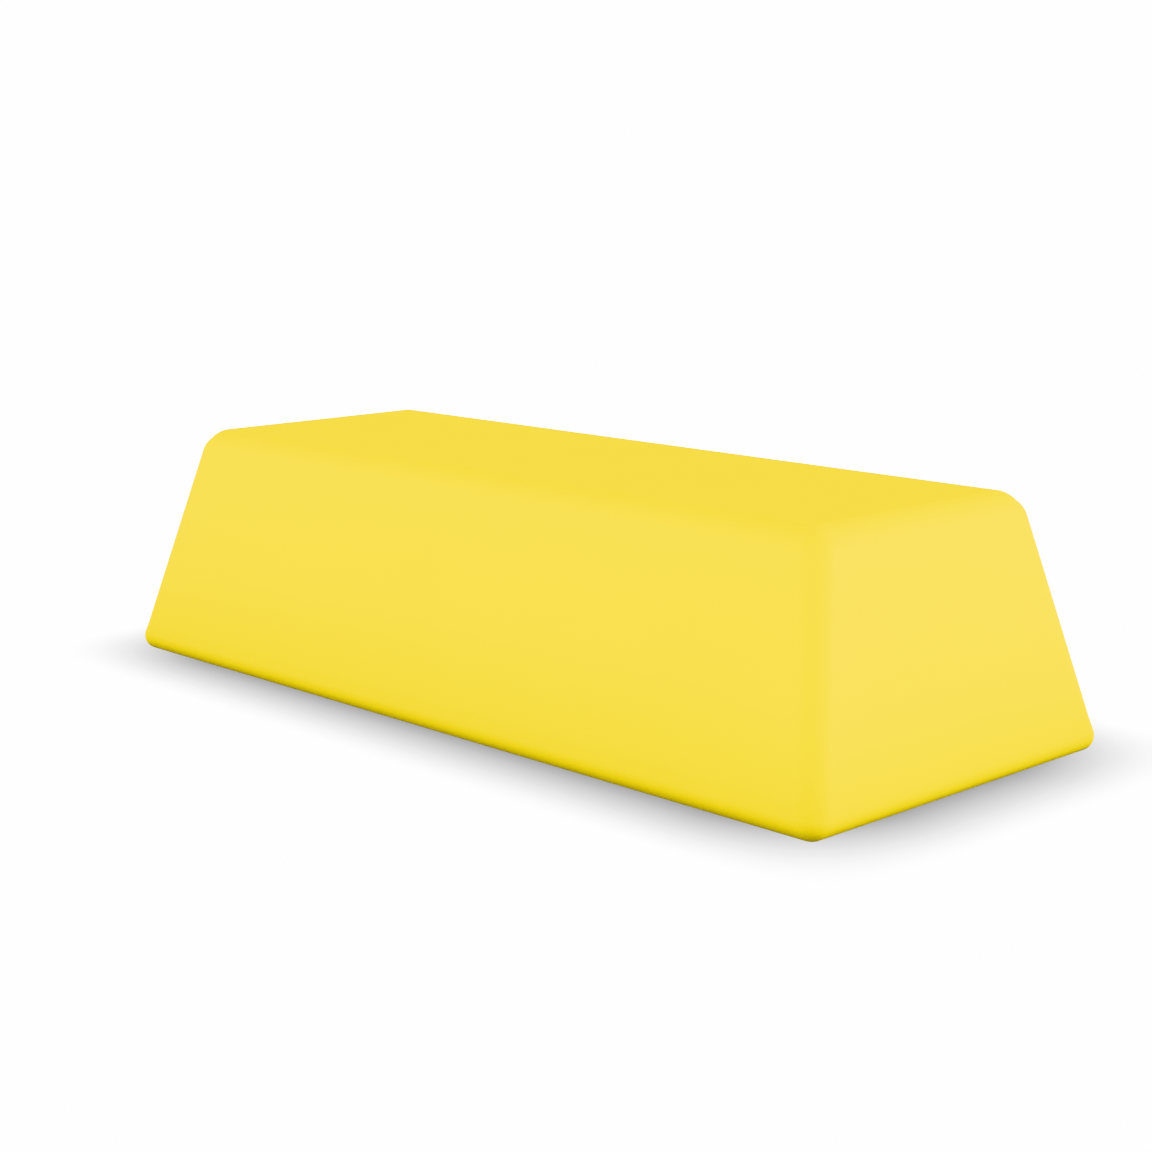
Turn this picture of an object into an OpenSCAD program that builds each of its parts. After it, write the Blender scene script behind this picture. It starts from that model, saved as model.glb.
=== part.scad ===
// Parking wheel stop: a precast concrete block with a yellow coating.
// It lies along X, its wheel side faces -Y, and it stands on the plane z = 0.
// A tied steel cage is cast inside, and two sleeves in the underside take the ground dowels.

/* [Block] */
// Overall length over the rounded foot
length = 600; // [580:10:700]
// Overall width over the rounded foot
width = 255; // [240:5:300]
// Overall height
height = 150; // [145:5:170]
// Lean of the two long sides from the vertical, in degrees
side_batter = 14.7; // [8:0.1:16]
// Lean of the two ends from the vertical, in degrees
end_batter = 12.7; // [8:0.1:16]

/* [Edges] */
// Radius of the edges around the top face
top_r = 18; // [12:1:22]
// Radius of the edges around the underside
foot_r = 10; // [6:1:12]
// Radius of the four upright edges
corner_r = 13; // [12:1:18]

/* [Coating] */
// Thickness of the cured coating
coat_t = 0.6; // [0.4:0.1:1.2]
// Gap between the ground and the coating's rim, under the rounded foot
rim_gap = 0.35; // [0.2:0.05:1]

/* [Reinforcement] */
// Concrete over the links
cover = 30; // [25:1:30]
// Diameter of the four long bars, over their ribs
bar_d = 10; // [8:1:12]
// Diameter of the closed links, over their ribs
link_d = 6; // [5:0.5:7]
// Diameter of the hairpins around the sleeves, over their ribs
hairpin_d = 8; // [6:1:8]
// Diameter of the annealed tying wire
wire_d = 1.4; // [1.2:0.1:1.6]

/* [Anchoring] */
// Distance between the two dowel sleeves
sleeve_pitch = 360; // [340:10:380]
// Inner diameter of the sleeves
sleeve_bore = 22; // [18:1:24]
// Wall of the sleeves
sleeve_wall = 2.5; // [2:0.5:3]
// Length of the sleeves, up from the underside
sleeve_length = 96; // [80:2:100]
// Diameter of the sleeve's flange
flange_d = 60; // [50:5:70]
// Thickness of the sleeve's flange
flange_t = 3; // [2:0.5:4]

/* [Hidden] */
$fn = 32;
// Cement film between neighbouring cast-in pieces
film = 0.3;
// Segments of each rounded corner and edge of the block
corner_steps = 8;
edge_steps = 8;
// How many of the foot's segments lie above its widest point
foot_steps_above = 2;
// Smallest corner radius in plan, around the top face
corner_min = 1.5;
half_length = length / 2;
half_width = width / 2;

// How far round the foot the coating starts, in degrees from straight down
coat_rim = acos(1 - (coat_t + rim_gap) / foot_r);

function unit(v) = v / norm(v);

// ---------- outline of the block ----------
// In these functions half is half of an overall size, batter is the lean of the two faces across
// that size, and out is how far outside the concrete the surface lies.

foot_z = foot_r - coat_t;
top_z = height - top_r;
core_height = height - coat_t;
core_foot_r = foot_r - coat_t;
core_top_r = top_r - coat_t;
core_corner_r = corner_r - coat_t;

// Distance of a leaning face from the middle plane at height z
function face_half(half, batter, z, out = 0) =
    half - foot_r + ((foot_z - z) * sin(batter) + core_foot_r + out) / cos(batter);

// Distance from the middle plane of the centre line of the rounded top edge
function top_half(half, batter) =
    half - foot_r + ((foot_z - top_z) * sin(batter) + foot_r - top_r) / cos(batter);

// Half the width of a circle of radius r at distance d from its centre
function chord(r, d) = sqrt(max(0, r * r - d * d));

// Distance of the surface from the middle plane at height z, rounded edges included
function edge_half(half, batter, z, out = 0) =
    z < foot_z + (core_foot_r + out) * sin(batter)
        ? half - foot_r + chord(core_foot_r + out, z - foot_z)
    : z > top_z + (core_top_r + out) * sin(batter)
        ? top_half(half, batter) + chord(core_top_r + out, z - top_z)
    : face_half(half, batter, z, out);

// Radius of the block's corners in plan at height z
function plan_r(z, out = 0) =
    let (full = core_corner_r + out,
         inset = face_half(half_width, side_batter, z, out)
               - edge_half(half_width, side_batter, z, out),
         top_circle = z > top_z ? chord(core_top_r + out, z - top_z) : 0)
    max(corner_min, full - inset, min(full, top_circle));

// One closed ring of points around the block at height z
function ring(z, out = 0) =
    let (r = plan_r(z, out),
         x = edge_half(half_length, end_batter, z, out) - r,
         y = edge_half(half_width, side_batter, z, out) - r)
    [for (q = [0:3], i = [0:corner_steps])
        let (a = 90 * (q + i / corner_steps))
        [(q == 0 || q == 3 ? x : -x) + r * cos(a), (q < 2 ? y : -y) + r * sin(a), z]];

ring_points = 4 * (corner_steps + 1);

// Heights of the rings up the foot's rounding and round the top edge
function foot_ring_z(angle, out = 0) = foot_z - (core_foot_r + out) * cos(angle);
function top_ring_z(angle, out = 0) = top_z + (core_top_r + out) * sin(angle);
function coated_z(out = 0) = concat(
    [for (i = [0:edge_steps - 1])
        foot_ring_z(coat_rim + i / edge_steps * (90 - coat_rim), out)],
    [for (i = [0:foot_steps_above])
        foot_ring_z(90 + i / foot_steps_above * side_batter, out)],
    [for (i = [0:edge_steps])
        top_ring_z(side_batter + i / edge_steps * (90 - side_batter), out)]);

// Faces between rings a and b, and the face that closes ring a at the top or the bottom
function band(a, b) =
    [for (i = [0:ring_points - 1])
        let (j = (i + 1) % ring_points)
        [a * ring_points + i, b * ring_points + i, b * ring_points + j, a * ring_points + j]];
function lid(a, up) =
    [for (i = [0:ring_points - 1]) a * ring_points + (up ? ring_points - 1 - i : i)];

// The whole block of concrete, before anything is cast into it
module concrete_mass() {
    heights = concat([foot_ring_z(0), foot_ring_z(coat_rim / 2)], coated_z());
    last = len(heights) - 1;
    polyhedron(
        points = [for (z = heights) each ring(z)],
        faces = concat(
            [lid(0, false), lid(last, true)],
            [for (k = [0:last - 1]) each band(k, k + 1)]));
}

module paint_coat() {
    outer = coated_z(coat_t);
    inner = coated_z();
    n = len(outer);
    color("gold")
        polyhedron(
            points = concat(
                [for (z = outer) each ring(z, coat_t)],
                [for (z = inner) each ring(z)]),
            faces = concat(
                [for (k = [0:n - 2]) each band(k, k + 1)],
                [for (k = [0:n - 2]) each band(n + k + 1, n + k)],
                band(n, 0),
                [lid(n - 1, true), lid(2 * n - 1, false)]));
}

// ---------- bent bars ----------

// A straight round bar of diameter d between the points a and b
module rod(a, b, d) {
    v = b - a;
    translate(a)
        rotate([0, acos(v.z / norm(v)), atan2(v.y, v.x)])
            cylinder(d = d, h = norm(v));
}

// A bend is this much thicker than its bar, and the bar's straight parts run this far into it
BEND_SWELL = 0.1;
BEND_LAP = 0.5;

// A bend of a round bar in the XY plane, of radius r around c, from the angle start through sweep
module bend(c, r, start, sweep, d) {
    translate(c)
        rotate([0, 0, start])
            rotate_extrude(angle = sweep)
                translate([r, 0])
                    circle(d = d + BEND_SWELL);
}

// The bend of radius r at corner p of a path: [its centre, its length along each leg, start, sweep]
function corner_bend(before, p, after, r) =
    let (u = unit(before - p),
         v = unit(after - p),
         half_angle = acos(u * v) / 2,
         centre = p + unit(u + v) * r / sin(half_angle),
         leg = r / tan(half_angle),
         from = p + u * leg - centre)
    [centre, leg, atan2(from.y, from.x), 180 - 2 * half_angle];

// ---------- the links and the long bars ----------

LINK_COUNT = 5;
LINK_CORNERS = 4;
// Radius of a link's bends, and how far the end links stand in from the top bars' ends, in
// diameters of the link
LINK_BEND = 2.5;
LINK_INSET = 2;
link_bend_r = LINK_BEND * link_d;
link_low_z = cover + link_d / 2;
link_high_z = core_height - cover - link_d / 2;

// Distance of a link's upright leg from the middle plane
function link_half(z) = face_half(half_width, side_batter, z, -cover - link_d / 2);

// Corners of a link seen along X, anticlockwise with Y to the right
link_path = [
    [-link_half(link_low_z), link_low_z],
    [link_half(link_low_z), link_low_z],
    [link_half(link_high_z), link_high_z],
    [-link_half(link_high_z), link_high_z]];

function path_corner(i) = link_path[(i + LINK_CORNERS) % LINK_CORNERS];
link_bends = [for (i = [0:LINK_CORNERS - 1])
    corner_bend(path_corner(i - 1), path_corner(i), path_corner(i + 1), link_bend_r)];

// Direction out of the cage at a link's corner, and where a long bar nests in that corner
function outward(i) = unit(link_path[i] - link_bends[i][0]);
function nest(i) = link_bends[i][0] + outward(i) * (link_bend_r - link_d / 2 - film - bar_d / 2);

// Half the length of a long bar at height z, with the cover kept at both ends
function bar_half(z) = face_half(half_length, end_batter, z + bar_d / 2, -cover);

link_reach = bar_half(nest(2).y) - LINK_INSET * link_d;
link_x = [for (i = [0:LINK_COUNT - 1]) (2 * i / (LINK_COUNT - 1) - 1) * link_reach];

module long_bar(i) {
    p = nest(i);
    color("sienna") rod([-bar_half(p.y), p.x, p.y], [bar_half(p.y), p.x, p.y], bar_d);
}

module link(k) {
    color("peru")
        translate([link_x[k], 0, 0])
            rotate([90, 0, 90])
                for (i = [0:LINK_CORNERS - 1]) {
                    p = path_corner(i);
                    after = path_corner(i + 1);
                    b = link_bends[i];
                    b_after = link_bends[(i + 1) % LINK_CORNERS];
                    along = unit(after - p);
                    start = p + along * (b[1] - BEND_LAP);
                    end = after - along * (b_after[1] - BEND_LAP);
                    bend(concat(b[0], 0), link_bend_r, b[2], b[3], link_d);
                    rod(concat(start, 0), concat(end, 0), link_d);
                }
}

// ---------- the dowel sleeves and the hairpins around them ----------

// How far a cutting shape runs past the surface that it cuts
CUT = 1;
sleeve_r = sleeve_bore / 2 + sleeve_wall;
// Keying ribs around the sleeve
RIB_COUNT = 3;
RIB_WIDTH = 4;
RIB_STAND = 1.5;
rib_r = sleeve_r + RIB_STAND;
rib_pitch = 20;
// The cup pushed over the sleeve's inner end
cap_wall = 1.5;
cap_lap = 14;
cap_gap = 0.2;

// Places a piece at the sleeve on one side: -1 is left, 1 is right
module at_sleeve(side) {
    translate([side * sleeve_pitch / 2, 0, 0]) children();
}

module sleeve(side) {
    color("dimgray")
        at_sleeve(side)
            difference() {
                union() {
                    cylinder(r = sleeve_r, h = sleeve_length);
                    cylinder(d = flange_d, h = flange_t);
                    for (i = [1:RIB_COUNT])
                        translate([0, 0, i * rib_pitch - RIB_WIDTH / 2])
                            cylinder(r = rib_r, h = RIB_WIDTH);
                }
                translate([0, 0, -CUT]) cylinder(d = sleeve_bore, h = sleeve_length + 2 * CUT);
            }
}

module sleeve_cap(side) {
    color("darkorange")
        at_sleeve(side)
            difference() {
                translate([0, 0, sleeve_length - cap_lap])
                    cylinder(r = sleeve_r + cap_gap + cap_wall, h = cap_lap + cap_wall);
                translate([0, 0, sleeve_length - cap_lap - CUT])
                    cylinder(r = sleeve_r + cap_gap, h = cap_lap + CUT);
            }
}

// The space that a sleeve and its cap take up in the concrete
module sleeve_space(side) {
    at_sleeve(side) {
        translate([0, 0, -CUT]) cylinder(r = sleeve_r, h = sleeve_length + CUT);
        translate([0, 0, -CUT]) cylinder(d = flange_d, h = flange_t + CUT);
        for (i = [1:RIB_COUNT])
            translate([0, 0, i * rib_pitch - RIB_WIDTH / 2])
                cylinder(r = rib_r, h = RIB_WIDTH);
        translate([0, 0, sleeve_length - cap_lap])
            cylinder(r = sleeve_r + cap_gap + cap_wall, h = cap_lap + cap_wall);
    }
}

// The hairpins lie on the links' bottom legs and bend round the sleeves at this radius
hairpin_z = link_low_z + link_d / 2 + film + hairpin_d / 2;
hairpin_r = 35;
// The hairpin's legs run this far past the link that they are tied to
hairpin_past = 25;
hairpin_end = link_x[LINK_COUNT - 2] - hairpin_past;

module hairpin(side) {
    bend_x = sleeve_pitch / 2;
    color("sienna")
        rotate([0, 0, side > 0 ? 0 : 180]) {
            bend([bend_x, 0, hairpin_z], hairpin_r, -90, 180, hairpin_d);
            for (y = [-hairpin_r, hairpin_r])
                rod([hairpin_end, y, hairpin_z], [bend_x + BEND_LAP, y, hairpin_z], hairpin_d);
        }
}

// ---------- spacer wheels ----------

WHEEL_WIDTH = 8;
RIM_WALL = 3;
SPOKES = 6;
SPOKE_WALL = 2.4;
HUB_WALL = 2.5;
wheel_r = cover + link_d / 2 - film;
hub_hole_r = link_d / 2 + film;
// The snap slot is a little narrower than the link
slot_w = 0.8 * link_d;
// The spokes run from the middle of the hub's wall to the middle of the rim's
spoke_start = hub_hole_r + HUB_WALL / 2;
spoke_end = wheel_r - RIM_WALL / 2;

// A clip-on wheel seen along its axis, with the mouth of its snap slot towards +X
module wheel_outline() {
    difference() {
        union() {
            difference() {
                circle(r = wheel_r);
                circle(r = wheel_r - RIM_WALL);
            }
            circle(r = hub_hole_r + HUB_WALL);
            for (i = [0:SPOKES - 1])
                rotate((i + 0.5) * 360 / SPOKES)
                    translate([spoke_start, -SPOKE_WALL / 2])
                        square([spoke_end - spoke_start, SPOKE_WALL]);
        }
        circle(r = hub_hole_r);
        translate([0, -slot_w / 2]) square([wheel_r + CUT, slot_w]);
    }
}

module wheel() {
    translate([0, 0, -WHEEL_WIDTH / 2]) linear_extrude(WHEEL_WIDTH) wheel_outline();
}

// Links that carry spacers: the second from each end
WHEEL_LINKS = [1, LINK_COUNT - 2];
// The top wheels stand halfway between the middle plane and the top bars
top_wheel_y = nest(2).x / 2;

module side_spacers() {
    color("lightgray")
        for (k = WHEEL_LINKS, side = [-1, 1])
            translate([
                link_x[k],
                side * link_half((link_low_z + link_high_z) / 2),
                (link_low_z + link_high_z) / 2])
                rotate([side * side_batter, 0, 0])
                    wheel();
}

module top_spacers() {
    color("lightgray")
        for (k = WHEEL_LINKS, side = [-1, 1])
            translate([link_x[k], side * top_wheel_y, link_high_z])
                rotate([90, 0, 0])
                    wheel();
}

// ---------- tying wire ----------

TAIL_LENGTH = 12;

// A tie at a crossing centred on p: a link lies on its outer side, in the direction angle from
// the Y axis in the YZ plane, and a bar of diameter d runs along X on its inner side
module tie(p, angle, d) {
    r = (d + link_d) / 2 + 2 * film + wire_d;
    translate(p)
        rotate([angle - 90, 0, 0]) {
            rotate([90, 0, 45]) rotate_extrude() translate([r, 0]) circle(d = wire_d);
            translate([0, 0, -r - TAIL_LENGTH]) cylinder(d = 2 * wire_d, h = TAIL_LENGTH);
        }
}

module tie_wires() {
    color("black") {
        for (x = link_x, i = [0:LINK_CORNERS - 1]) {
            v = outward(i);
            p = link_bends[i][0] + v * (link_bend_r - (bar_d + film) / 2);
            tie([x, p.x, p.y], atan2(v.y, v.x), bar_d);
        }
        for (x = [link_x[1], link_x[LINK_COUNT - 2]], y = [-hairpin_r, hairpin_r])
            tie([x, y, link_low_z + (film + hairpin_d) / 2], -90, hairpin_d);
    }
}

// ---------- the concrete around everything ----------

module concrete_body() {
    difference() {
        color("silver") concrete_mass();
        for (i = [0:LINK_CORNERS - 1]) long_bar(i);
        for (k = [0:LINK_COUNT - 1]) link(k);
        for (side = [-1, 1]) {
            hairpin(side);
            sleeve_space(side);
        }
        side_spacers();
        top_spacers();
        tie_wires();
    }
}

concrete_body();
paint_coat();
long_bar(0);  // bottom_bar_front
long_bar(1);  // bottom_bar_back
long_bar(2);  // top_bar_back
long_bar(3);  // top_bar_front
link(0);  // link_1
link(1);  // link_2
link(2);  // link_3
link(3);  // link_4
link(4);  // link_5
hairpin(-1);  // hairpin_left
hairpin(1);  // hairpin_right
sleeve(-1);  // sleeve_left
sleeve(1);  // sleeve_right
sleeve_cap(-1);  // sleeve_cap_left
sleeve_cap(1);  // sleeve_cap_right
side_spacers();
top_spacers();
tie_wires();
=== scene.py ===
"""Looks of a precast concrete parking wheel stop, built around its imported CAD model."""
import math

import bmesh
import bpy
from mathutils import Matrix, Vector


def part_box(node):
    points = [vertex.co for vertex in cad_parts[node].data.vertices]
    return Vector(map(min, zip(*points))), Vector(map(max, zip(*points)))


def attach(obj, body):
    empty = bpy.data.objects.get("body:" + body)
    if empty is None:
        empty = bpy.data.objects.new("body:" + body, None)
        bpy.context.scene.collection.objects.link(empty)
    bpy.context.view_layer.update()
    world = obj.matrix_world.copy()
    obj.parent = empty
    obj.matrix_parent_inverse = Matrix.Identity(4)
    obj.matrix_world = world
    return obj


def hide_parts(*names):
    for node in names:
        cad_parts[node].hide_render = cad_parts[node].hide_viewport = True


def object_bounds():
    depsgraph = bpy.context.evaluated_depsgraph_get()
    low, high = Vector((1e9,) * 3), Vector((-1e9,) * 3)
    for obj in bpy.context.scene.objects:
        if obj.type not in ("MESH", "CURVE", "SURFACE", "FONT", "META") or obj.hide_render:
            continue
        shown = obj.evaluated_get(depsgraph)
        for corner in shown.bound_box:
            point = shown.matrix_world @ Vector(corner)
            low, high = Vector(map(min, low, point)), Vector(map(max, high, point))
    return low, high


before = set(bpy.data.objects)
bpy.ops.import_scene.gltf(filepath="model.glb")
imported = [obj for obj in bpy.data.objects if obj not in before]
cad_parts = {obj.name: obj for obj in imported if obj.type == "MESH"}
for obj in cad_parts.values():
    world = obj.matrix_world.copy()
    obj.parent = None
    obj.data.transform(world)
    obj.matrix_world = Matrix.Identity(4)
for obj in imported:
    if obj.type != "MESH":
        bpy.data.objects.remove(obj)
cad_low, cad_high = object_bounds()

MM = 0.001

# ---------- the block's dimensions, the CAD model's own ----------

HALF_LENGTH = (cad_high.x - cad_low.x) / 2
HALF_WIDTH = (cad_high.y - cad_low.y) / 2
HEIGHT = cad_high.z - cad_low.z
SIDE_BATTER = math.radians(14.7)
END_BATTER = math.radians(12.7)
TOP_R = 18 * MM
FOOT_R = 10 * MM
CORNER_R = 13 * MM
COAT_T = 0.6 * MM
RIM_GAP = 0.35 * MM
FOOT_Z = FOOT_R - COAT_T
TOP_Z = HEIGHT - TOP_R
RIM_ANGLE = math.acos(1 - (COAT_T + RIM_GAP) / FOOT_R)


def chord(r, d):
    """Half the width of a circle of radius r at distance d from its centre."""
    return math.sqrt(max(0.0, r * r - d * d))


def face_half(half, batter, z, out=0.0):
    """Distance of a leaning face from the middle plane; out is how far outside the concrete."""
    rise = (FOOT_Z - z) * math.sin(batter)
    return half - FOOT_R + (rise + FOOT_R - COAT_T + out) / math.cos(batter)


def edge_half(half, batter, z, out=0.0):
    """The same with the rounded foot and top edge."""
    foot_r = FOOT_R - COAT_T + out
    top_r = TOP_R - COAT_T + out
    if z < FOOT_Z + foot_r * math.sin(batter):
        return half - FOOT_R + chord(foot_r, z - FOOT_Z)
    if z > TOP_Z + top_r * math.sin(batter):
        rise = (FOOT_Z - TOP_Z) * math.sin(batter)
        centre = half - FOOT_R + (rise + FOOT_R - TOP_R) / math.cos(batter)
        return centre + chord(top_r, z - TOP_Z)
    return face_half(half, batter, z, out)


def plan_radius(z, out=0.0):
    """Radius of the block's corners in plan at height z."""
    full = CORNER_R - COAT_T + out
    inset = face_half(HALF_WIDTH, SIDE_BATTER, z, out) - edge_half(HALF_WIDTH, SIDE_BATTER, z, out)
    circle = chord(TOP_R - COAT_T + out, z - TOP_Z) if z > TOP_Z else 0.0
    return max(full - inset, min(full, circle), 0.5 * MM)


CORNER_STEPS = 16
EDGE_STEPS = 20


def ring(z, out=0.0):
    """Points around the block at height z, anticlockwise from the +X side."""
    r = plan_radius(z, out)
    x = edge_half(HALF_LENGTH, END_BATTER, z, out) - r
    y = edge_half(HALF_WIDTH, SIDE_BATTER, z, out) - r
    points = []
    for quarter, (sx, sy) in enumerate(((1, 1), (-1, 1), (-1, -1), (1, -1))):
        for i in range(CORNER_STEPS + 1):
            a = math.radians(90 * (quarter + i / CORNER_STEPS))
            points.append(Vector((sx * x + r * math.cos(a), sy * y + r * math.sin(a), z)))
    return points


def coated_heights(rim, out=0.0):
    """Heights of the rings from the coating's rim, an angle up the foot, to the top face."""
    foot_r = FOOT_R - COAT_T + out
    top_r = TOP_R - COAT_T + out
    heights = []
    for i in range(EDGE_STEPS + 1):
        a = rim + i / EDGE_STEPS * (math.pi / 2 + SIDE_BATTER - rim)
        heights.append(FOOT_Z - foot_r * math.cos(a))
    for i in range(EDGE_STEPS + 1):
        a = SIDE_BATTER + i / EDGE_STEPS * (math.pi / 2 - SIDE_BATTER)
        heights.append(TOP_Z + top_r * math.sin(a))
    return heights


# ---------- mesh helpers ----------


def new_piece(name, bm, nodes, material, smooth_angle=35):
    """Turns a bmesh into a piece that stands for CAD nodes."""
    bmesh.ops.recalc_face_normals(bm, faces=bm.faces)
    for f in bm.faces:
        f.smooth = True
    mesh = bpy.data.meshes.new(name)
    bm.to_mesh(mesh)
    bm.free()
    mesh.set_sharp_from_angle(angle=math.radians(smooth_angle))
    mesh.materials.append(material)
    piece = bpy.data.objects.new(name, mesh)
    bpy.context.scene.collection.objects.link(piece)
    shading = piece.modifiers.new("flat faces stay flat", "WEIGHTED_NORMAL")
    shading.keep_sharp = True
    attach(piece, "root")
    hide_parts(*nodes)


def skin(bm, rings):
    """Faces between each ring of vertices and the next."""
    for low, high in zip(rings, rings[1:]):
        for i in range(len(low)):
            j = (i + 1) % len(low)
            bm.faces.new((low[i], low[j], high[j], high[i]))


# ---------- materials ----------


class Shader:
    """A node material being built, with short ways to add and join nodes."""

    def __init__(self, name):
        self.material = bpy.data.materials.new(name)
        self.material.use_nodes = True
        self.tree = self.material.node_tree
        self.surface = self.tree.nodes["Principled BSDF"]
        self.place = self.tree.nodes.new("ShaderNodeTexCoord").outputs["Object"]

    def add(self, kind, inputs=None, **settings):
        node = self.tree.nodes.new(kind)
        for key, value in settings.items():
            setattr(node, key, value)
        for key, value in (inputs or {}).items():
            if isinstance(value, bpy.types.NodeSocket):
                self.tree.links.new(value, node.inputs[key])
            else:
                node.inputs[key].default_value = value
        return node

    def noise(self, size, detail=2.0, roughness=0.5, stretch=None):
        """Noise whose lumps are about size across, in metres."""
        place = self.place
        if stretch:
            place = self.add("ShaderNodeMapping", {"Vector": place, "Scale": stretch}).outputs[0]
        return self.add("ShaderNodeTexNoise", {
            "Vector": place, "Scale": 1 / size, "Detail": detail, "Roughness": roughness,
        }).outputs["Fac"]

    def ramp(self, value, low, high, to_low=0.0, to_high=1.0, shape="LINEAR"):
        """Maps low..high to to_low..to_high, clamped."""
        return self.add("ShaderNodeMapRange", {
            "Value": value, "From Min": low, "From Max": high,
            "To Min": to_low, "To Max": to_high,
        }, interpolation_type=shape).outputs["Result"]

    def mix(self, share, a, b):
        """Mixes two colours."""
        node = self.add("ShaderNodeMix", data_type="RGBA")
        for socket, value in ((0, share), (6, a), (7, b)):
            if isinstance(value, bpy.types.NodeSocket):
                self.tree.links.new(value, node.inputs[socket])
            else:
                node.inputs[socket].default_value = value
        return node.outputs[2]

    def math(self, operation, a, b=0.0):
        node = self.add("ShaderNodeMath", operation=operation)
        for socket, value in enumerate((a, b)):
            if isinstance(value, bpy.types.NodeSocket):
                self.tree.links.new(value, node.inputs[socket])
            else:
                node.inputs[socket].default_value = value
        return node.outputs[0]

    def bump(self, height, distance, strength=1.0, normal=None):
        inputs = {"Height": height, "Distance": distance, "Strength": strength}
        if normal is not None:
            inputs["Normal"] = normal
        return self.add("ShaderNodeBump", inputs).outputs["Normal"]

    def set(self, **values):
        """Sets the surface's sockets, with _ for a space in a socket's name."""
        for key, value in values.items():
            socket = self.surface.inputs[key.replace("_", " ")]
            if isinstance(value, bpy.types.NodeSocket):
                self.tree.links.new(value, socket)
            else:
                socket.default_value = value


def coating_material():
    """Matt yellow traffic coating: an even colour with a fine sprayed texture."""
    s = Shader("yellow_coating")
    cloud = s.noise(90 * MM, detail=3)
    fine = s.noise(1.6 * MM, detail=3, roughness=0.6)
    orange_peel = s.noise(5 * MM, detail=2)
    colour = s.mix(s.ramp(cloud, 0.3, 0.7), (0.885, 0.676, 0.004, 1), (0.900, 0.692, 0.005, 1))
    normal = s.bump(orange_peel, 0.10 * MM, 0.5)
    normal = s.bump(fine, 0.03 * MM, 0.5, normal)
    s.set(Base_Color=colour, Roughness=s.ramp(cloud, 0.3, 0.7, 0.82, 0.86), Normal=normal,
          IOR=1.5, Specular_IOR_Level=0.3)
    return s.material


# Share of a spot's radius over which it is at its full strength
SPOT_CORE = 0.6


def voronoi_spots(s, size, radius):
    """Round spots about size apart: 1 in the core of a spot, 0 from radius outwards."""
    cells = s.add("ShaderNodeTexVoronoi", {"Vector": s.place, "Scale": 1 / size})
    return s.ramp(cells.outputs["Distance"], radius / size, SPOT_CORE * radius / size)


def concrete_material():
    """Grey precast concrete: mottled cement, sand grains, and the small holes of trapped air,
    dented in, with painted shade inside them.
    """
    s = Shader("concrete")
    cloud = s.noise(70 * MM, detail=5, roughness=0.6)
    blotch = s.noise(14 * MM, detail=6, roughness=0.62)
    sand = s.noise(1.1 * MM, detail=3, roughness=0.7)
    grain = voronoi_spots(s, 5 * MM, 1.5 * MM)
    hole_dent_and_shade = voronoi_spots(s, 19 * MM, 1.6 * MM)
    colour = s.mix(s.ramp(cloud, 0.3, 0.7), (0.30, 0.29, 0.27, 1), (0.40, 0.39, 0.365, 1))
    colour = s.mix(s.ramp(blotch, 0.42, 0.72, 0.0, 0.55), colour, (0.47, 0.46, 0.435, 1))
    colour = s.mix(s.ramp(sand, 0.55, 0.75, 0.0, 0.5), colour, (0.22, 0.205, 0.185, 1))
    colour = s.mix(s.math("MULTIPLY", grain, 0.35), colour, (0.26, 0.235, 0.205, 1))
    # Painted shade: the air holes are coloured near-black for the shade inside them
    colour = s.mix(s.math("MULTIPLY", hole_dent_and_shade, 0.8), colour, (0.11, 0.105, 0.10, 1))
    height = s.math("SUBTRACT", s.math("MULTIPLY", sand, 0.25), hole_dent_and_shade)
    normal = s.bump(blotch, 0.5 * MM, 0.4)
    normal = s.bump(height, 0.9 * MM, 0.6, normal)
    s.set(Base_Color=colour, Roughness=s.ramp(blotch, 0.3, 0.7, 0.92, 0.78), Normal=normal)
    return s.material


def bar_material(name, rust_share):
    """Hot-rolled steel: blue-grey mill scale with light rust, more of it at a larger share."""
    s = Shader(name)
    patch = s.noise(17 * MM, detail=6, roughness=0.65)
    speck = s.noise(2.2 * MM, detail=5, roughness=0.7)
    both = s.math("ADD", s.math("MULTIPLY", patch, 0.6), s.math("MULTIPLY", speck, 0.4))
    rust = s.ramp(both, 0.6 - 0.25 * rust_share, 0.7 - 0.25 * rust_share)
    dark_scale, light_scale = (0.075, 0.078, 0.085, 1), (0.15, 0.15, 0.155, 1)
    dark_rust, light_rust = (0.155, 0.060, 0.024, 1), (0.33, 0.135, 0.048, 1)
    scale_colour = s.mix(s.ramp(speck, 0.3, 0.7), dark_scale, light_scale)
    rust_colour = s.mix(s.ramp(speck, 0.35, 0.65), dark_rust, light_rust)
    s.set(Base_Color=s.mix(rust, scale_colour, rust_colour),
          Metallic=s.ramp(rust, 0.0, 1.0, 0.85, 0.1),
          Roughness=s.ramp(rust, 0.0, 1.0, 0.42, 0.85),
          Normal=s.bump(speck, 0.12 * MM, 0.5))
    return s.material


def wire_material():
    """Black annealed wire: dark oxide, drawn smooth, with a few brown flecks."""
    s = Shader("tie_wire")
    fleck = s.noise(4 * MM, detail=5, roughness=0.65)
    draw = s.noise(0.6 * MM, detail=2)
    colour = s.mix(s.ramp(fleck, 0.5, 0.72), (0.045, 0.046, 0.050, 1), (0.14, 0.075, 0.042, 1))
    s.set(Base_Color=colour, Metallic=0.8, Roughness=s.ramp(fleck, 0.4, 0.7, 0.38, 0.65),
          Normal=s.bump(draw, 0.03 * MM, 0.4))
    return s.material


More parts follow.
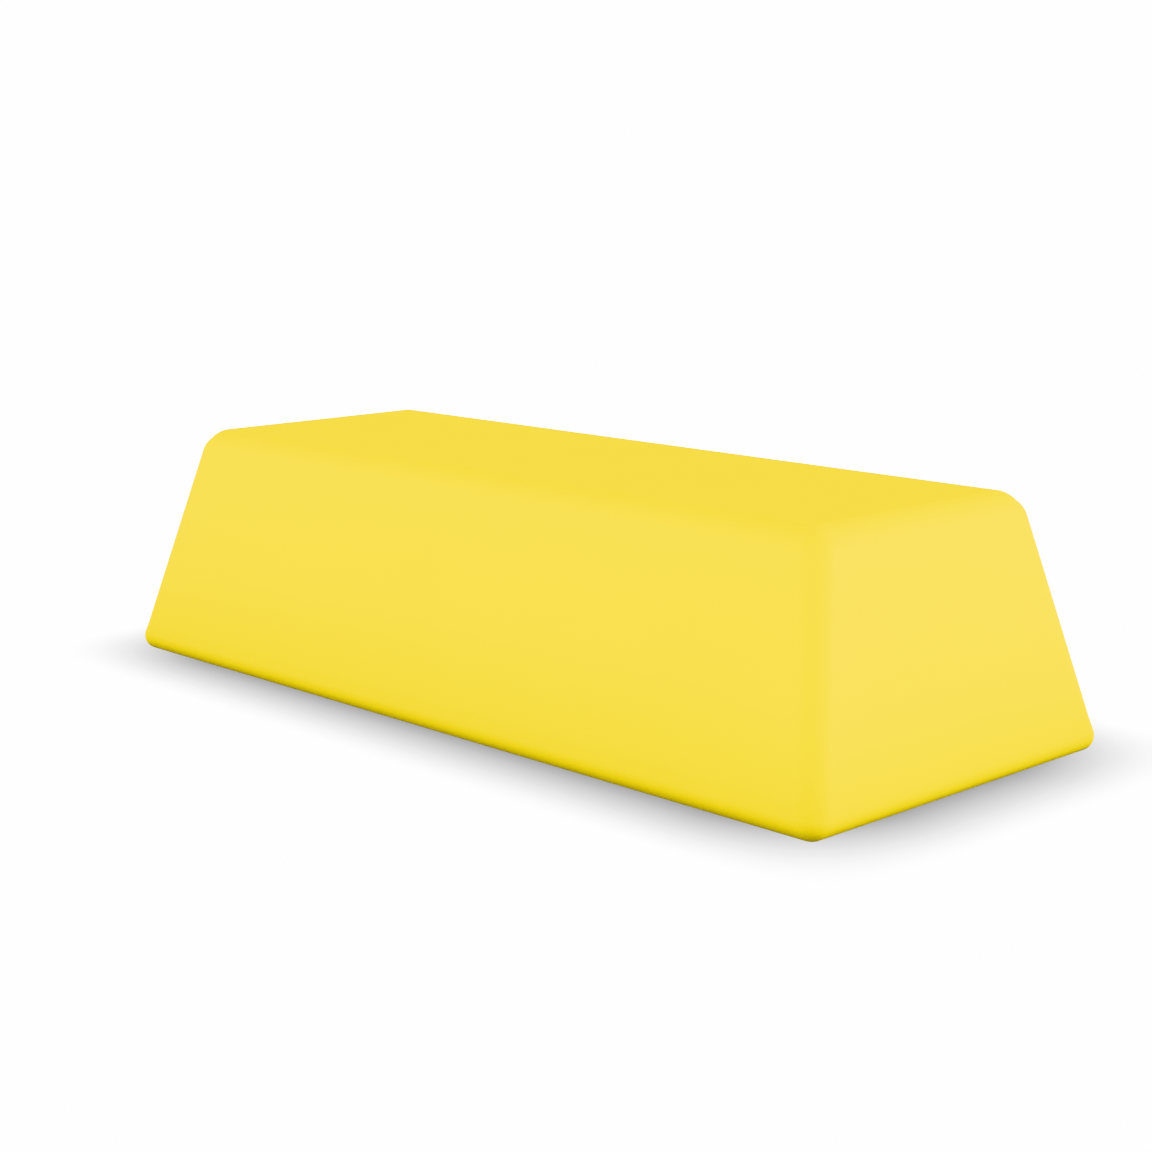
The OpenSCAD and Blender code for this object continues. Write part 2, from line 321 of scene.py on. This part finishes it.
def plastic_material(name, dark, light, roughness):
    """Moulded plastic: flow marks in its colour, and a fine moulded grain."""
    s = Shader(name)
    flow = s.noise(16 * MM, detail=3, stretch=(1, 1, 0.35))
    grain = s.noise(0.45 * MM, detail=2)
    colour = s.mix(s.ramp(flow, 0.3, 0.7), dark + (1,), light + (1,))
    s.set(Base_Color=colour, Roughness=s.ramp(flow, 0.3, 0.7, roughness - 0.05, roughness + 0.05),
          Normal=s.bump(grain, 0.04 * MM, 0.35))
    return s.material


# ---------- the coating ----------


def build_coating():
    bm = bmesh.new()
    outer = [[bm.verts.new(p) for p in ring(z, COAT_T)] for z in coated_heights(RIM_ANGLE, COAT_T)]
    inner = [[bm.verts.new(p) for p in ring(z)] for z in coated_heights(RIM_ANGLE)]
    skin(bm, outer)
    skin(bm, inner)
    skin(bm, [inner[0], outer[0]])
    bm.faces.new(outer[-1])
    bm.faces.new(inner[-1])
    new_piece("coating", bm, ["paint_coat"], coating_material())


# ---------- the cage's dimensions, the CAD model's own ----------

COVER = 30 * MM
FILM = 0.3 * MM
BAR_D = 10 * MM
LINK_D = 6 * MM
HAIRPIN_D = 8 * MM
WIRE_D = 1.4 * MM
LINK_BEND_R = 2.5 * LINK_D
HAIRPIN_R = 35 * MM
TAIL_LENGTH = 12 * MM
LINKS = ["link_1", "link_2", "link_3", "link_4", "link_5"]
WHEEL_LINKS = ["link_2", "link_4"]


def centre_of(node):
    low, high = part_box(node)
    return (low + high) / 2


LINK_LOW_Z = COVER + LINK_D / 2
LINK_HIGH_Z = HEIGHT - COAT_T - COVER - LINK_D / 2
LINK_X = {name: centre_of(name).x for name in LINKS}
TOP_WHEEL_Y = centre_of("top_bar_back").y / 2


def link_half(z):
    """Distance of a link's upright leg from the middle plane."""
    return face_half(HALF_WIDTH, SIDE_BATTER, z, -COVER - LINK_D / 2)


def link_corners(x):
    """Corners of a link at x, front bottom, back bottom, back top, front top."""
    low_y, high_y = link_half(LINK_LOW_Z), link_half(LINK_HIGH_Z)
    return [
        Vector((x, -low_y, LINK_LOW_Z)),
        Vector((x, low_y, LINK_LOW_Z)),
        Vector((x, high_y, LINK_HIGH_Z)),
        Vector((x, -high_y, LINK_HIGH_Z)),
    ]


# ---------- bars ----------


def corner_arc(before, corner, after, radius):
    """The bend at a corner of a path: its centre, its start, and how far it turns."""
    u = (before - corner).normalized()
    v = (after - corner).normalized()
    half_angle = u.angle(v) / 2
    centre = corner + (u + v).normalized() * radius / math.sin(half_angle)
    start = corner + u * radius / math.tan(half_angle)
    return centre, start, math.pi - 2 * half_angle


# A line between two bends that is shorter than this is rounding error
SHORTEST_LINE = 1e-7


class Path:
    """A flat path of straight lines, bent at its corners, that is followed by distance.

    A straight stretch is (length, start, direction, None), and a bend is (length, centre, arm
    from the centre to the bend's start, angle turned).
    """

    def __init__(self, corners, radius=0.0, closed=False):
        self.closed = closed
        self.stretches = []
        self.normal = Vector((0, 0, 1))
        count = len(corners)
        if count > 2:
            self.normal = (corners[1] - corners[0]).cross(corners[2] - corners[1]).normalized()
        bends = [corner_arc(corners[i - 1], corners[i], corners[(i + 1) % count], radius)
                 for i in (range(count) if closed else range(1, count - 1))]
        at = bends[0][1] if closed else corners[0]
        end = at if closed else corners[-1]
        for centre, start, turn in bends:
            self.add_line(at, start)
            arm = start - centre
            self.stretches.append((turn * radius, centre, arm, turn))
            at = centre + Matrix.Rotation(turn, 3, self.normal) @ arm
        self.add_line(at, end)
        self.length = sum(stretch[0] for stretch in self.stretches)

    def add_line(self, start, end):
        length = (end - start).length
        if length > SHORTEST_LINE:
            self.stretches.append((length, start, (end - start) / length, None))

    def at(self, along):
        """The point, and the direction of the path there, at a distance along it."""
        if self.closed:
            along %= self.length
        k = 0
        while k < len(self.stretches) - 1 and along > self.stretches[k][0]:
            along -= self.stretches[k][0]
            k += 1
        length, first, second, turn = self.stretches[k]
        if turn is None:
            return first + second * along, second
        arm = Matrix.Rotation(turn * along / length, 3, self.normal) @ second
        return first + arm, self.normal.cross(arm).normalized()


# Pitch of a bar's ribs, and how far the ribs stand above its core, in diameters of the bar
RIB_PITCH = 0.65
RIB_STAND = 0.055
# Shares of the pitch at which a rib's flank and its top start, and how far it leans
RIB_FLANK = 0.30
RIB_TOP = 0.43
RIB_LEAN = 0.32
# The rings of one pitch: the share of the pitch, and if the ring lies on the rib's top
RIB_RINGS = ((0.0, False), (RIB_FLANK, False), (RIB_TOP, True), (1 - RIB_TOP, True),
             (1 - RIB_FLANK, False))
# Between the two lengthwise ribs, a rib rises as this power of the sine of the angle
RIB_SWELL = 0.6
RIB_STEPS = 8
# The lengthwise ribs: half the angle of their top and of their foot, and their height
SEAM_HALF = math.radians(6)
SEAM_FOOT = math.radians(13)
SEAM_HEIGHT = 0.85
# The ribs fade out this near to a weld, in diameters of the bar
WELD_REACH = 0.9


def bar_outline():
    """Angles around a bar, each with the height there of a rib's top and of the gap after it."""
    outline = []
    for side in (0.0, math.pi):
        for angle in (-SEAM_HALF, SEAM_HALF):
            outline.append((side + angle, SEAM_HEIGHT, SEAM_HEIGHT))
        for i in range(RIB_STEPS + 1):
            angle = SEAM_FOOT + (math.pi - 2 * SEAM_FOOT) * i / RIB_STEPS
            height = math.sin(angle) ** RIB_SWELL if 0 < i < RIB_STEPS else 0.0
            outline.append((side + angle, height, 0.0))
    return outline


def ribbed_bar(name, path, diameter, node, material, weld_at=None):
    """Sweeps a ribbed round bar along a path; the ribs are flattened where its ends are welded."""
    pitches = max(1, round(path.length / (RIB_PITCH * diameter)))
    pitch = path.length / pitches
    rings = [(k + share, on_rib) for k in range(pitches) for share, on_rib in RIB_RINGS]
    if not path.closed:
        rings.append((pitches, False))
    outline = bar_outline()
    bm = bmesh.new()
    loops = []
    for turn, on_rib in rings:
        at_end = not path.closed and turn in (0, pitches)
        loop = []
        for angle, top_height, gap_height in outline:
            along = turn * pitch
            if not at_end:
                along += RIB_LEAN * pitch * math.cos(angle)
            if not path.closed:
                along = min(max(along, 0.0), path.length)
            point, direction = path.at(along)
            height = top_height if on_rib else gap_height
            if weld_at is not None:
                height *= min(1.0, (point - weld_at).length / (WELD_REACH * diameter)) ** 2
            across = direction.cross(path.normal)
            arm = path.normal * math.cos(angle) + across * math.sin(angle)
            radius = diameter / 2 - RIB_STAND * diameter * (1 - height)
            loop.append(bm.verts.new(point + arm * radius))
        loops.append(loop)
    if path.closed:
        loops.append(loops[0])
    skin(bm, loops)
    if not path.closed:
        bm.faces.new(loops[0])
        bm.faces.new(loops[-1])
    new_piece(name, bm, [node], material, smooth_angle=62)


def build_long_bars(material):
    for node in ("bottom_bar_front", "bottom_bar_back", "top_bar_front", "top_bar_back"):
        low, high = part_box(node)
        middle = (low + high) / 2
        path = Path([Vector((low.x, middle.y, middle.z)), Vector((high.x, middle.y, middle.z))])
        ribbed_bar(node + "_ribbed", path, BAR_D, node, material)


def build_links(material):
    for node in LINKS:
        corners = link_corners(LINK_X[node])
        path = Path(corners, LINK_BEND_R, closed=True)
        weld = (corners[2] + corners[3]) / 2
        ribbed_bar(node + "_ribbed", path, LINK_D, node, material, weld)


def build_hairpins(material):
    for node, side in (("hairpin_left", -1), ("hairpin_right", 1)):
        low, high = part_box(node)
        z = (low.z + high.z) / 2
        end = low.x if side > 0 else high.x
        crown = centre_of("sleeve_right" if side > 0 else "sleeve_left").x + side * HAIRPIN_R
        near, far = -side * HAIRPIN_R, side * HAIRPIN_R
        corners = [Vector((end, near, z)), Vector((crown, near, z)),
                   Vector((crown, far, z)), Vector((end, far, z))]
        path = Path(corners, HAIRPIN_R)
        ribbed_bar(node + "_ribbed", path, HAIRPIN_D, node, material)


# ---------- tying wire ----------

TWIST_PITCH = 5.5 * MM
TWIST_STEPS = 44
LOOP_STEPS = 56


def tie_path(radius):
    """One tie, link side up: two ends twisted together below a loop, as points of one wire."""
    wire_r = WIRE_D / 2

    def strand(side):
        points = []
        for i in range(TWIST_STEPS + 1):
            down = TAIL_LENGTH * i / TWIST_STEPS
            turn = 2 * math.pi * down / TWIST_PITCH
            x, y = wire_r * math.cos(turn), wire_r * math.sin(turn)
            points.append(Vector((side * x, side * y, -radius - down)))
        return points

    gap = math.asin(wire_r / radius)
    loop = []
    for i in range(1, LOOP_STEPS):
        angle = -math.pi / 2 + gap + (2 * math.pi - 2 * gap) * i / LOOP_STEPS
        loop.append(Vector((radius * math.cos(angle), 0, radius * math.sin(angle))))
    return strand(1)[::-1] + loop + strand(-1)


def build_ties(material):
    """Every tie is one spline of a single curve."""
    curve = bpy.data.curves.new("tie_wires_twisted", "CURVE")
    curve.dimensions = "3D"
    curve.bevel_depth = WIRE_D / 2
    curve.bevel_resolution = 3
    curve.use_fill_caps = True

    def add_tie(place, angle, diameter):
        path = tie_path((diameter + LINK_D) / 2 + 2 * FILM + WIRE_D)
        turn = Matrix.Rotation(angle - math.pi / 2, 3, "X") @ Matrix.Rotation(math.pi / 4, 3, "Z")
        spline = curve.splines.new("POLY")
        spline.points.add(len(path) - 1)
        for point, p in zip(spline.points, path):
            point.co = (*(place + turn @ p), 1)

    for node in LINKS:
        corners = link_corners(LINK_X[node])
        for i, corner in enumerate(corners):
            centre, _, _ = corner_arc(corners[i - 1], corner, corners[(i + 1) % 4], LINK_BEND_R)
            out = (corner - centre).normalized()
            place = centre + out * (LINK_BEND_R - (BAR_D + FILM) / 2)
            add_tie(place, math.atan2(out.z, out.y), BAR_D)
    for node in WHEEL_LINKS:
        for y in (-HAIRPIN_R, HAIRPIN_R):
            place = Vector((LINK_X[node], y, LINK_LOW_Z + (FILM + HAIRPIN_D) / 2))
            add_tie(place, -math.pi / 2, HAIRPIN_D)
    ties = bpy.data.objects.new("tie_wires_twisted", curve)
    bpy.context.scene.collection.objects.link(ties)
    curve.materials.append(material)
    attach(ties, "root")
    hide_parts("tie_wires")


# ---------- turned and moulded plastic ----------


def softened(profile, radius, steps=4):
    """The closed outline with each corner rounded to the radius, or less where a side is short."""
    points = []
    count = len(profile)
    for i, corner in enumerate(profile):
        u = profile[i - 1] - corner
        v = profile[(i + 1) % count] - corner
        reach = min(radius, 0.45 * u.length, 0.45 * v.length)
        start = corner + u.normalized() * reach
        end = corner + v.normalized() * reach
        if corner.x == 0:
            points.append(corner)
            continue
        for k in range(steps + 1):
            t = k / steps
            points.append(start * (1 - t) ** 2 + corner * 2 * t * (1 - t) + end * t * t)
    return points


def turned(bm, profile, place, around=72):
    """Turns an outline of (radius, height) points about the upright axis through place.

    An outline that starts and ends on the axis is closed there; any other joins up with itself.
    """
    solid = profile[0].x == 0
    rings = []
    for p in profile[1:-1] if solid else profile:
        rings.append([])
        for k in range(around):
            a = 2 * math.pi * k / around
            point = Vector((p.x * math.cos(a), p.x * math.sin(a), p.y))
            rings[-1].append(bm.verts.new(place + point))
    skin(bm, rings if solid else rings + [rings[0]])
    if solid:
        for ring_verts, p in ((rings[0], profile[0]), (rings[-1], profile[-1])):
            hub = bm.verts.new(place + Vector((0, 0, p.y)))
            for k in range(around):
                bm.faces.new((ring_verts[k], ring_verts[(k + 1) % around], hub))


SLEEVE_BORE_R = 11 * MM
SLEEVE_R = 13.5 * MM
SLEEVE_RIB_R = 15 * MM
SLEEVE_RIB_WIDTH = 4 * MM
SLEEVE_RIB_PITCH = 20 * MM
SLEEVE_RIBS = 3
FLANGE_T = 3 * MM
SLEEVE_EDGE_R = 0.5 * MM
CAP_GAP = 0.2 * MM
CAP_WALL = 1.5 * MM
CAP_EDGE_R = 0.4 * MM


def build_sleeve(side, material):
    node = "sleeve_" + side
    low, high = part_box(node)
    middle = (low + high) / 2
    flange_r = (high.x - low.x) / 2
    outline = [Vector((SLEEVE_BORE_R, low.z)), Vector((flange_r, low.z)),
               Vector((flange_r, FLANGE_T)), Vector((SLEEVE_R, FLANGE_T))]
    for i in range(1, SLEEVE_RIBS + 1):
        bottom = i * SLEEVE_RIB_PITCH - SLEEVE_RIB_WIDTH / 2
        top = bottom + SLEEVE_RIB_WIDTH
        outline += [Vector((SLEEVE_R, bottom)), Vector((SLEEVE_RIB_R, bottom)),
                    Vector((SLEEVE_RIB_R, top)), Vector((SLEEVE_R, top))]
    outline += [Vector((SLEEVE_R, high.z)), Vector((SLEEVE_BORE_R, high.z))]
    bm = bmesh.new()
    turned(bm, softened(outline, SLEEVE_EDGE_R), Vector((middle.x, middle.y, 0)))
    new_piece(node + "_moulded", bm, [node], material)


def build_sleeve_cap(side, material):
    node = "sleeve_cap_" + side
    low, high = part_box(node)
    middle = (low + high) / 2
    hole_r = SLEEVE_R + CAP_GAP
    outer_r = hole_r + CAP_WALL
    outline = [Vector((0, high.z - CAP_WALL)), Vector((hole_r, high.z - CAP_WALL)),
               Vector((hole_r, low.z)), Vector((outer_r, low.z)), Vector((outer_r, high.z)),
               Vector((0, high.z))]
    bm = bmesh.new()
    turned(bm, softened(outline, CAP_EDGE_R), Vector((middle.x, middle.y, 0)))
    new_piece(node + "_moulded", bm, [node], material)


WHEEL_WIDTH = 8 * MM
WHEEL_EDGE_R = 0.35 * MM
WHEEL_R = COVER + LINK_D / 2 - FILM
RIM_R = WHEEL_R - 3 * MM
HUB_HOLE_R = LINK_D / 2 + FILM
HUB_R = HUB_HOLE_R + 2.5 * MM
SPOKES = 6
SPOKE_HALF = 1.2 * MM
SLOT_HALF = 0.4 * LINK_D


def arc_points(radius, start, end, steps):
    """Points of an arc about the origin, from one angle to another."""
    return [Vector((radius * math.cos(a), radius * math.sin(a)))
            for a in (start + (end - start) * i / steps for i in range(steps + 1))]


def wheel_loops():
    """The wheel's outline with its snap slot towards +X, and its closed windows."""
    step = 360 / SPOKES
    first_spoke = math.radians(step / 2)

    def half(radius, width):
        return math.asin(width / radius)

    upper = arc_points(WHEEL_R, half(WHEEL_R, SLOT_HALF), math.pi, 40)
    pocket = arc_points(RIM_R, first_spoke - half(RIM_R, SPOKE_HALF), half(RIM_R, SLOT_HALF), 6)
    hub = arc_points(HUB_HOLE_R, math.pi, half(HUB_HOLE_R, SLOT_HALF), 12)
    root_x = SLOT_HALF / math.tan(first_spoke) + SPOKE_HALF / math.sin(first_spoke)
    root = [Vector((max(root_x, chord(HUB_R, SLOT_HALF)), SLOT_HALF))]
    top_half = hub + root + pocket + upper
    bottom_half = [Vector((p.x, -p.y)) for p in reversed(top_half)]
    loops = [top_half + bottom_half[1:-1]]
    for i in range(SPOKES - 1):
        low = math.radians(step * i + step / 2)
        high = low + math.radians(step)
        loops.append(
            arc_points(RIM_R, low + half(RIM_R, SPOKE_HALF), high - half(RIM_R, SPOKE_HALF), 14)
            + arc_points(HUB_R, high - half(HUB_R, SPOKE_HALF), low + half(HUB_R, SPOKE_HALF), 6))
    return loops


def wheel_mesh():
    """One moulded spacer wheel, with rounded edges, its axis along Z."""
    curve = bpy.data.curves.new("wheel", "CURVE")
    curve.dimensions = "2D"
    curve.fill_mode = "BOTH"
    curve.bevel_depth = WHEEL_EDGE_R
    curve.bevel_resolution = 2
    curve.offset = -WHEEL_EDGE_R
    curve.extrude = WHEEL_WIDTH / 2 - WHEEL_EDGE_R
    for loop in wheel_loops():
        spline = curve.splines.new("POLY")
        spline.points.add(len(loop) - 1)
        for point, p in zip(spline.points, loop):
            point.co = (p.x, p.y, 0, 1)
        spline.use_cyclic_u = True
    wheel = bpy.data.objects.new("wheel", curve)
    bpy.context.scene.collection.objects.link(wheel)
    solid = wheel.evaluated_get(bpy.context.evaluated_depsgraph_get())
    mesh = bpy.data.meshes.new_from_object(solid)
    bpy.data.objects.remove(wheel)
    return mesh


def build_spacers(material):
    mesh = wheel_mesh()
    middle_z = (LINK_LOW_Z + LINK_HIGH_Z) / 2
    for node in ("side_spacers", "top_spacers"):
        bm = bmesh.new()
        for link in WHEEL_LINKS:
            for side in (-1, 1):
                if node == "side_spacers":
                    place = Vector((LINK_X[link], side * link_half(middle_z), middle_z))
                    turn = Matrix.Rotation(side * SIDE_BATTER, 4, "X")
                else:
                    place = Vector((LINK_X[link], side * TOP_WHEEL_Y, LINK_HIGH_Z))
                    turn = Matrix.Rotation(math.pi / 2, 4, "X")
                copy = mesh.copy()
                copy.transform(Matrix.Translation(place) @ turn)
                bm.from_mesh(copy)
        bmesh.ops.remove_doubles(bm, verts=bm.verts, dist=0.01 * MM)
        new_piece(node + "_moulded", bm, [node], material)


build_coating()
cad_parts["concrete_body"].data.materials.clear()
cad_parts["concrete_body"].data.materials.append(concrete_material())
long_steel = bar_material("bar_steel", 0.5)
build_long_bars(long_steel)
build_hairpins(long_steel)
build_links(bar_material("link_steel", 0.8))
build_ties(wire_material())
black, soft_black = (0.018, 0.018, 0.020), (0.030, 0.030, 0.032)
sleeve_plastic = plastic_material("sleeve_plastic", black, soft_black, 0.42)
cap_plastic = plastic_material("cap_plastic", (0.66, 0.145, 0.012), (0.75, 0.185, 0.018), 0.40)
for side in ("left", "right"):
    build_sleeve(side, sleeve_plastic)
    build_sleeve_cap(side, cap_plastic)
build_spacers(plastic_material("spacer_plastic", (0.26, 0.27, 0.28), (0.33, 0.34, 0.35), 0.45))

# ---------- floor, lights and camera ----------

FLOOR_HALF = 12
# What the camera sees of the floor and the room: display white through the view transform, and
# a soft shadow that is half as deep at the block's foot as under its middle
SEEN_WHITE = 8
SHADOW_DEPTH = 1.3
SHADOW_BLUR = 71 * MM
# The view transform rolls off what is this far below white, and darkens all by its toe
SHOULDER = 0.24
TOE = 0.04
# The light that the floor gives to the block: in the block's own shade, which is this wide, and
# further away than the dim part of the floor
LIGHT_AT_FOOT = 0.22
FLOOR_LIGHT = 2.2
FLOOR_SHADE = 30 * MM
FLOOR_DIM = 150 * MM


def seen_white_less(s, shade):
    """The strength that the view transform shows as white less the shade."""
    least = SHOULDER ** 2 / (SEEN_WHITE + 2 * SHOULDER - TOE - 1)
    shade = s.math("MAXIMUM", shade, least)
    rolled = s.math("MAXIMUM", s.math("SUBTRACT", SHOULDER, shade), 0.0)
    rolled = s.math("DIVIDE", s.math("MULTIPLY", rolled, rolled), shade)
    return s.math("ADD", s.math("SUBTRACT", 1 + TOE, shade), rolled)


def past_footprint(s):
    """How far a point of the floor is past the block's footprint, along X and along Y."""
    half = (HALF_LENGTH - FOOT_R, HALF_WIDTH - FOOT_R, 0)
    place = s.add("ShaderNodeVectorMath", {0: s.place}, operation="ABSOLUTE").outputs[0]
    return s.add("ShaderNodeVectorMath", {0: place, 1: half}, operation="SUBTRACT").outputs[0]


def soft_shadow(s, past):
    """Depth of the block's soft shadow on the floor."""
    split = s.add("ShaderNodeSeparateXYZ", {0: past})
    across = s.ramp(split.outputs[0], -SHADOW_BLUR, SHADOW_BLUR, 1.0, 0.0, "SMOOTHSTEP")
    along = s.ramp(split.outputs[1], -SHADOW_BLUR, SHADOW_BLUR, 1.0, 0.0, "SMOOTHSTEP")
    return s.math("MULTIPLY", s.math("MULTIPLY", across, along), SHADOW_DEPTH)


def floor_light(s, past):
    """The floor's light on the block, which dims towards the block's foot."""
    out = s.add("ShaderNodeVectorMath", {0: past, 1: (0, 0, 0)}, operation="MAXIMUM").outputs[0]
    distance = s.add("ShaderNodeVectorMath", {0: out}, operation="LENGTH").outputs["Value"]
    return s.ramp(distance, FLOOR_SHADE, FLOOR_DIM, LIGHT_AT_FOOT, FLOOR_LIGHT)


def build_floor():
    """A plain white floor, which gives out light.

    The camera sees it white with the block's soft shadow drawn in. The block gets a light from it
    that dims towards the block's foot.
    """
    bm = bmesh.new()
    bmesh.ops.create_grid(bm, x_segments=8, y_segments=8, size=FLOOR_HALF)
    mesh = bpy.data.meshes.new("floor")
    bm.to_mesh(mesh)
    bm.free()
    floor = bpy.data.objects.new("floor", mesh)
    bpy.context.scene.collection.objects.link(floor)
    s = Shader("floor")
    past = past_footprint(s)
    shown = seen_white_less(s, soft_shadow(s, past))
    seen = s.add("ShaderNodeLightPath").outputs["Is Camera Ray"]
    glow = s.add("ShaderNodeMix", {"Factor": seen, "A": floor_light(s, past), "B": shown})
    s.set(Base_Color=(0, 0, 0, 1), Roughness=1.0, Specular_IOR_Level=0.0,
          Emission_Color=(1, 1, 1, 1), Emission_Strength=glow.outputs["Result"])
    mesh.materials.append(s.material)
    floor.visible_glossy = False


# The studio's light: its level all round, and softboxes as (direction, added strength), one of
# them a dark screen that keeps the top face's sheen down
ROOM_LEVEL = 0.84
SOFTBOXES = (
    ((-0.70, -0.70, 0.15), 4.0),
    ((0.70, 0.70, 0.15), 6.2),
    ((0.70, -0.70, 0.15), 0.4),
    ((-0.70, 0.70, 0.15), -0.8),
)
SOFTBOX_EDGE = 5
# The light at the horizon, as a share of the full light, and how fast it rises above that
HORIZON_LEVEL = 0.3
HORIZON_RISE = 8


def build_world():
    """A white room above the horizon; the camera itself sees it plain white."""
    world = bpy.data.worlds.new("studio")
    bpy.context.scene.world = world
    world.use_nodes = True
    tree = world.node_tree

    def maths(operation, a, b, clamp=False):
        node = tree.nodes.new("ShaderNodeMath")
        node.operation = operation
        node.use_clamp = clamp
        for socket, value in zip(node.inputs, (a, b)):
            if isinstance(value, bpy.types.NodeSocket):
                tree.links.new(value, socket)
            else:
                socket.default_value = value
        return node.outputs[0]

    direction = tree.nodes.new("ShaderNodeTexCoord").outputs["Generated"]
    light = ROOM_LEVEL
    for towards, strength in SOFTBOXES:
        facing = tree.nodes.new("ShaderNodeVectorMath")
        facing.operation = "DOT_PRODUCT"
        tree.links.new(direction, facing.inputs[0])
        facing.inputs[1].default_value = Vector(towards).normalized()
        spot = maths("POWER", maths("MAXIMUM", facing.outputs["Value"], 0.0), SOFTBOX_EDGE)
        light = maths("ADD", light, maths("MULTIPLY", spot, strength))
    split = tree.nodes.new("ShaderNodeSeparateXYZ")
    tree.links.new(direction, split.inputs[0])
    above = maths("MULTIPLY", split.outputs["Z"], HORIZON_RISE)
    above = maths("ADD", above, HORIZON_LEVEL, clamp=True)
    seen = tree.nodes.new("ShaderNodeLightPath").outputs["Is Camera Ray"]
    light = maths("MULTIPLY", light, above)
    strength = maths("MAXIMUM", light, maths("MULTIPLY", seen, SEEN_WHITE))
    background = tree.nodes["Background"]
    background.inputs["Color"].default_value = (1, 1, 1, 1)
    tree.links.new(strength, background.inputs["Strength"])


CAMERA_PLACE = Vector((6.2828, -6.0645, 2.2624)) * HEIGHT
CAMERA_YAW = math.radians(46.006)
CAMERA_PITCH = math.radians(11.412)
CAMERA_FOV = math.radians(30)


def build_camera():
    data = bpy.data.cameras.new("camera")
    data.sensor_width = 36
    data.lens = data.sensor_width / 2 / math.tan(CAMERA_FOV / 2)
    data.clip_start = 0.01
    data.clip_end = 100
    camera = bpy.data.objects.new("camera", data)
    camera.location = CAMERA_PLACE
    forward = Vector((
        -math.sin(CAMERA_YAW) * math.cos(CAMERA_PITCH),
        math.cos(CAMERA_YAW) * math.cos(CAMERA_PITCH),
        -math.sin(CAMERA_PITCH)))
    camera.rotation_mode = "QUATERNION"
    camera.rotation_quaternion = forward.to_track_quat("-Z", "Y")
    bpy.context.scene.collection.objects.link(camera)
    bpy.context.scene.camera = camera


bpy.context.scene.view_settings.view_transform = "Khronos PBR Neutral"
build_floor()
build_world()
build_camera()
